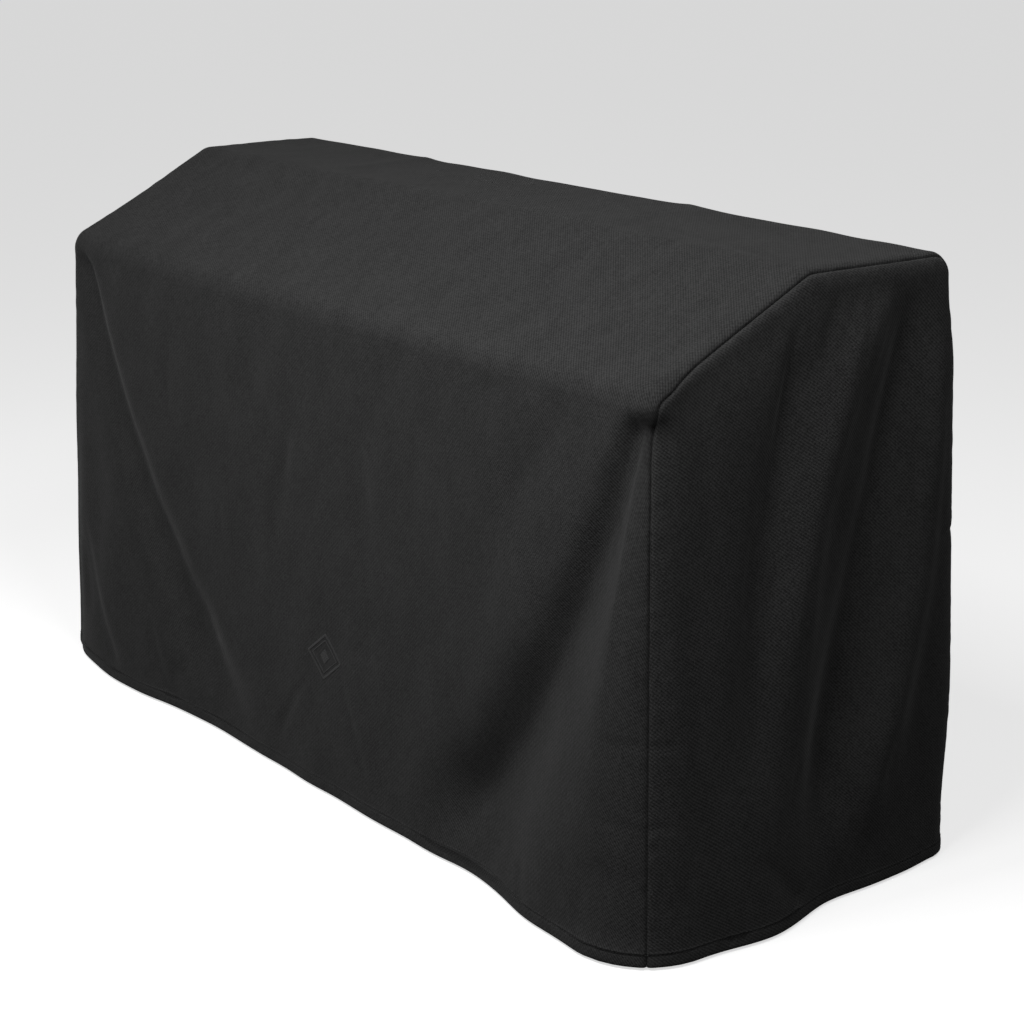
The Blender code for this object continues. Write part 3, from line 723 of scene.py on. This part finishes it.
def hem_path():
    """Points and normals of the form all round at the height of the stitch line."""
    r = EDGE_RADIUS
    inner = np.array([WIDTH / 2 - r, DEPTH / 2 - r])
    centre = np.array([0.0, DEPTH / 2])
    points, normals = [], []
    quarter = np.linspace(0.0, np.pi / 2, 60)
    for turn in range(4):
        start = -np.pi / 2 + turn * np.pi / 2
        corner = np.array([(1, -1), (1, 1), (-1, 1), (-1, -1)][turn]) * inner + centre
        for angle in start + quarter:
            n = np.array([np.cos(angle), np.sin(angle)])
            points.append(corner + r * n)
            normals.append(n)
        after = np.array([(1, 1), (-1, 1), (-1, -1), (1, -1)][turn]) * inner + centre
        for share in np.linspace(0.0, 1.0, 200)[1:-1]:
            points.append(corner + (after - corner) * share + r * n)
            normals.append(n)
    up = np.full((len(points), 1), HEM_STITCH_UP)
    return (
        np.concatenate([points, up], axis=1),
        np.concatenate([normals, np.zeros_like(up)], axis=1),
    )


def threads_object(name, starts, ends, outward, radius):
    """Short threads from starts to ends, lying on the cloth that faces outward."""
    bm = bmesh.new()
    for a, b, n in zip(starts, ends, outward):
        along = unit(b - a)
        across = unit(np.cross(n, along))
        lift = np.cross(along, across)
        middle = (a + b) / 2 + n * radius * 0.5
        place = Matrix.Identity(4)
        for axis, column in zip((across, lift, along), range(3)):
            for i in range(3):
                place[i][column] = axis[i]
        place.translation = Vector(middle)
        bmesh.ops.create_cone(
            bm,
            cap_ends=True,
            segments=6,
            radius1=radius,
            radius2=radius,
            depth=float(np.linalg.norm(b - a)),
            matrix=place,
        )
    mesh = bpy.data.meshes.new(name)
    bm.to_mesh(mesh)
    bm.free()
    mesh.shade_smooth()
    mesh.set_sharp_from_angle(angle=np.radians(50.0))
    obj = bpy.data.objects.new(name, mesh)
    bpy.context.scene.collection.objects.link(obj)
    return obj


path, path_normals = hem_path()
path = np.concatenate([path, path[:1]])
path_normals = np.concatenate([path_normals, path_normals[:1]])
on_cloth, cloth_normals = cloth_at(path, path_normals)
on_cloth = on_cloth + cloth_normals * hem_relief(HEM_STITCH_UP)
measure = np.concatenate([[0.0], np.cumsum(np.linalg.norm(np.diff(on_cloth, axis=0), axis=1))])
count = int(measure[-1] / STITCH_PITCH)
begin = np.arange(count) * measure[-1] / count


def along_hem(place, values):
    return np.stack([np.interp(place, measure, values[:, i]) for i in range(3)], axis=-1)


hem_threads = threads_object(
    "hem_stitches",
    along_hem(begin, on_cloth),
    along_hem(begin + STITCH, on_cloth),
    unit(along_hem(begin + STITCH / 2, cloth_normals)),
    THREAD,
)
print("hem stitches", count, "over", round(measure[-1], 3), "m")

# %% [markdown]
# ## Embroidery
# The front has a small tone-on-tone embroidery low down in the middle. A plain lozenge with a filled
# lozenge inside stands in for the original motif. It is satin stitch: threads laid side by side
# across the band. The thread is black like the cloth and smoother, and it is painted a little paler
# as painted sheen, so that all four sides of the lozenge shine as satin does. This sets it off.

# %% Embroidery
MOTIF_AT = (0.063, 0.214)
MOTIF_HALF = (0.043, 0.035)
BAND = 0.0034
SATIN_PITCH = 0.00072
SATIN_THREAD = 0.00046
INNER_LINE = 0.74
INNER_BAND = 0.45
CORE = 0.34


def lozenge(scale):
    w, h = MOTIF_HALF
    return np.array([(0, -h), (w, 0), (0, h), (-w, 0), (0, -h)]) * scale


def satin_line(corners, band):
    """Threads that cross the line through these corners, slanted by a quarter of their length."""
    starts, ends = [], []
    for a, b in zip(corners[:-1], corners[1:]):
        along = (b - a) / np.linalg.norm(b - a)
        across = np.array([-along[1], along[0]])
        for place in np.arange(0.0, np.linalg.norm(b - a), SATIN_PITCH):
            middle = a + along * place
            half = across * band / 2 + along * band / 8
            starts.append(middle - half)
            ends.append(middle + half)
    return starts, ends


def on_front(flat):
    """Places on the front of the cloth for (x, z) points, with their normals."""
    flat = np.array(flat) + np.array(MOTIF_AT)
    form = np.stack([flat[:, 0], np.zeros(len(flat)), flat[:, 1]], axis=-1)
    facing = np.zeros(form.shape)
    facing[:, 1] = -1.0
    return cloth_at(form, facing)


starts, ends = satin_line(lozenge(1.0), BAND)
more = satin_line(lozenge(INNER_LINE), BAND * INNER_BAND)
starts, ends = starts + more[0], ends + more[1]
reach = MOTIF_HALF[1] * CORE
for x in np.arange(-reach + 0.001, reach, SATIN_PITCH):
    tall = reach - abs(x)
    starts.append(np.array([x, -tall]))
    ends.append(np.array([x + 0.0005, tall]))
low, facing = on_front(starts)
high, _ = on_front(ends)
embroidery = threads_object("embroidery", low, high, facing, SATIN_THREAD)
print("embroidery threads", len(starts))

# %% [markdown]
# ## Cloth material
# The cloth is a matte black twill. Fine slanted ribs come from waves on the metric UV map, and
# thicker and thinner yarns from stretched noise. Both are fine enough for the cloth to read as
# almost plain from a few steps away. A little sheen lifts the edges, as the fibre ends do.


# %% Materials
CLOTH_GREY = 0.034
HEM_THREAD_GREY = 0.030
# The satin thread's grey is painted sheen: it is paler than the cloth so that the satin shines on
# every side.
SATIN_GREY_WITH_PAINTED_SHEEN = 0.065
TWILL_PERIOD = 0.0036
CROSS_PERIOD = 0.0052
YARN_SCALE = 300.0
GRAIN_SCALE = 380.0
BLOTCH_SCALE = 22.0
GREY_SWING = 0.50


def node(tree, kind, **inputs):
    made = tree.nodes.new(kind)
    for name, value in inputs.items():
        made.inputs[name.replace("_", " ")].default_value = value
    return made


def math_node(tree, operation, a, b=None):
    made = tree.nodes.new("ShaderNodeMath")
    made.operation = operation
    for socket, value in zip(made.inputs, (a, b)):
        if isinstance(value, (int, float)):
            socket.default_value = value
        elif value is not None:
            tree.links.new(value, socket)
    return made.outputs[0]


def ribs(tree, u, v, across, along, period):
    """Slanted ribs: a sine wave whose crests run at across to along, period metres apart."""
    k = 2 * np.pi / period / np.hypot(across, along)
    total = math_node(
        tree,
        "ADD",
        math_node(tree, "MULTIPLY", u, float(across * k)),
        math_node(tree, "MULTIPLY", v, float(along * k)),
    )
    return math_node(tree, "SINE", total)


def stretched_noise(tree, uv, stretch, scale, detail=2.0):
    mapping = node(tree, "ShaderNodeMapping", Scale=stretch)
    noise = node(tree, "ShaderNodeTexNoise", Scale=scale, Detail=detail, Roughness=0.6)
    tree.links.new(uv, mapping.inputs["Vector"])
    tree.links.new(mapping.outputs[0], noise.inputs["Vector"])
    return noise.outputs["Fac"]


def cloth_material(name, grey):
    material = bpy.data.materials.new(name)
    material.use_nodes = True
    tree = material.node_tree
    shader = tree.nodes["Principled BSDF"]
    shader.inputs["Roughness"].default_value = 0.88
    shader.inputs["Specular IOR Level"].default_value = 0.22
    shader.inputs["Sheen Weight"].default_value = 0.10
    shader.inputs["Sheen Roughness"].default_value = 0.45
    uv_map = tree.nodes.new("ShaderNodeUVMap")
    uv_map.uv_map = "weave"
    split = tree.nodes.new("ShaderNodeSeparateXYZ")
    tree.links.new(uv_map.outputs[0], split.inputs[0])
    u, v = split.outputs[0], split.outputs[1]
    twill = ribs(tree, u, v, 1.0, 1.0, TWILL_PERIOD)
    cross = ribs(tree, u, v, -1.0, 1.0, CROSS_PERIOD)
    yarn_up = stretched_noise(tree, uv_map.outputs[0], (1.0, 0.20, 1.0), YARN_SCALE)
    yarn_across = stretched_noise(tree, uv_map.outputs[0], (0.20, 1.0, 1.0), YARN_SCALE)
    grain = stretched_noise(tree, uv_map.outputs[0], (1.0, 1.0, 1.0), GRAIN_SCALE, 3.0)
    blotch = stretched_noise(tree, uv_map.outputs[0], (1.0, 0.6, 1.0), BLOTCH_SCALE)
    weave = math_node(tree, "MULTIPLY", twill, 0.30)
    weave = math_node(tree, "ADD", weave, math_node(tree, "MULTIPLY", cross, 0.12))
    for part, weight in ((yarn_up, 0.9), (yarn_across, 0.9), (grain, 1.3)):
        weave = math_node(tree, "ADD", weave, math_node(tree, "MULTIPLY", part, weight))
    bump = node(tree, "ShaderNodeBump", Strength=0.60, Distance=0.0007)
    tree.links.new(weave, bump.inputs["Height"])
    tree.links.new(bump.outputs[0], shader.inputs["Normal"])
    shade = math_node(tree, "MULTIPLY", weave, 0.30)
    shade = math_node(tree, "ADD", shade, math_node(tree, "MULTIPLY", blotch, 0.16))
    ramp = tree.nodes.new("ShaderNodeMapRange")
    ramp.inputs["From Min"].default_value = 0.40
    ramp.inputs["From Max"].default_value = 0.69
    ramp.inputs["To Min"].default_value = grey * (1.0 - GREY_SWING)
    ramp.inputs["To Max"].default_value = grey * (1.0 + GREY_SWING)
    tree.links.new(shade, ramp.inputs["Value"])
    colour = tree.nodes.new("ShaderNodeCombineColor")
    for channel in range(3):
        tree.links.new(ramp.outputs[0], colour.inputs[channel])
    tree.links.new(colour.outputs[0], shader.inputs["Base Color"])
    return material


def thread_material(name, grey, roughness, sheen):
    material = bpy.data.materials.new(name)
    material.use_nodes = True
    shader = material.node_tree.nodes["Principled BSDF"]
    shader.inputs["Base Color"].default_value = (grey, grey, grey, 1.0)
    shader.inputs["Roughness"].default_value = roughness
    shader.inputs["Sheen Weight"].default_value = sheen
    return material


cloth = cloth_material("black_twill", CLOTH_GREY)
for panel in (wrap, end_right, end_left):
    panel.data.materials.append(cloth)
hem_threads.data.materials.append(thread_material("hem_thread", HEM_THREAD_GREY, 0.60, 0.1))
# The satin thread's paler grey is painted sheen.
embroidery.data.materials.append(thread_material("satin_thread_with_painted_sheen", SATIN_GREY_WITH_PAINTED_SHEEN, 0.38, 0.1))

# %% [markdown]
# ## Attaching the sheets
# Every sheet stands for its CAD node, which is hidden, and rides on the part's one body. The piano
# that the cover rests on isn't part of the object.

# %% Attaching the sheets
for piece, cad_node, slot in (
    (wrap, "wrap_panel", "wrap_cloth"),
    (end_right, "end_panel_right", "end_cloth_right"),
    (end_left, "end_panel_left", "end_cloth_left"),
):
    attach(piece, "root")
    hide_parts(cad_node)
for piece in (hem_threads, embroidery):
    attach(piece, "root")

# %% [markdown]
# ## Floor, light and camera
# The cover stands on a plain pale floor that fills the view. Three soft boxes light it from above:
# one in front of it and one to the right of that, for the roof and the front skirt, and one high on
# the right, which picks out the folds of the end. None of them reaches the back, which stays dark.
# They are near enough for the light to fall off towards the hem. The floor glows a little for the
# camera, as a light table does, and returns little light, so that the black cloth keeps its depth.
# The camera has a long lens and stands where a product view would be taken.

# %% Floor and light
FLOOR_CLEAR = 0.004
FLOOR_HALF = 60.0
WORLD_STRENGTH = 0.025

level = Matrix.Translation((0, 0, cad_bounds[0][2] - FLOOR_CLEAR))
bm = bmesh.new()
bmesh.ops.create_grid(bm, x_segments=1, y_segments=1, size=FLOOR_HALF, matrix=level)
floor_mesh = bpy.data.meshes.new("floor")
bm.to_mesh(floor_mesh)
bm.free()
floor = bpy.data.objects.new("floor", floor_mesh)
bpy.context.scene.collection.objects.link(floor)
floor_material = bpy.data.materials.new("floor")
floor_material.use_nodes = True
tree = floor_material.node_tree
tree.nodes.remove(tree.nodes["Principled BSDF"])
lit = node(tree, "ShaderNodeBsdfDiffuse", Color=(0.80, 0.80, 0.80, 1.0))
glow = node(tree, "ShaderNodeEmission", Color=(1.0, 1.0, 1.0, 1.0), Strength=0.66)
seen = tree.nodes.new("ShaderNodeAddShader")
tree.links.new(lit.outputs[0], seen.inputs[0])
tree.links.new(glow.outputs[0], seen.inputs[1])
bounced = node(tree, "ShaderNodeBsdfDiffuse", Color=(0.16, 0.16, 0.16, 1.0))
who = tree.nodes.new("ShaderNodeLightPath")
choose = tree.nodes.new("ShaderNodeMixShader")
tree.links.new(who.outputs["Is Camera Ray"], choose.inputs[0])
tree.links.new(bounced.outputs[0], choose.inputs[1])
tree.links.new(seen.outputs[0], choose.inputs[2])
tree.links.new(choose.outputs[0], tree.nodes["Material Output"].inputs["Surface"])
floor.data.materials.append(floor_material)

world = bpy.data.worlds.new("studio")
world.use_nodes = True
world.node_tree.nodes["Background"].inputs["Color"].default_value = (1.0, 1.0, 1.0, 1.0)
world.node_tree.nodes["Background"].inputs["Strength"].default_value = WORLD_STRENGTH
bpy.context.scene.world = world


def softbox(name, place, aim, size, power):
    light = bpy.data.lights.new(name, "AREA")
    light.shape = "SQUARE"
    light.size = size
    light.energy = power
    obj = bpy.data.objects.new(name, light)
    obj.location = place
    obj.rotation_euler = (Vector(place) - Vector(aim)).to_track_quat("Z", "Y").to_euler()
    bpy.context.scene.collection.objects.link(obj)


LIGHTS_AIM = (0.1, -0.3, -0.3)
BOX_SIZE = 0.9
softbox("above_front", (0.0, -1.5, 1.8), LIGHTS_AIM, BOX_SIZE, 27.0)
softbox("front_right", (1.0, -1.8, 1.4), LIGHTS_AIM, BOX_SIZE, 18.0)
softbox("top_right", (2.0, -0.7, 2.2), LIGHTS_AIM, BOX_SIZE, 21.0)

# %% Camera
CAMERA_TARGET = Vector((0.0975, -0.0945, -0.4913))
CAMERA_PLACE = Vector((2.7947, -2.2413, 0.5573))
CAMERA_ROLL = np.radians(-0.156)
LENS = 79.64

camera_data = bpy.data.cameras.new("camera")
camera_data.sensor_width = 36.0
camera_data.lens = LENS
camera_data.clip_end = 200.0
camera = bpy.data.objects.new("camera", camera_data)
camera.location = CAMERA_PLACE
aim = (CAMERA_PLACE - CAMERA_TARGET).to_track_quat("Z", "Y").to_matrix()
camera.rotation_euler = (aim @ Matrix.Rotation(float(CAMERA_ROLL), 3, "Z")).to_euler()
bpy.context.scene.collection.objects.link(camera)
bpy.context.scene.camera = camera
bpy.context.scene.view_settings.view_transform = "Standard"
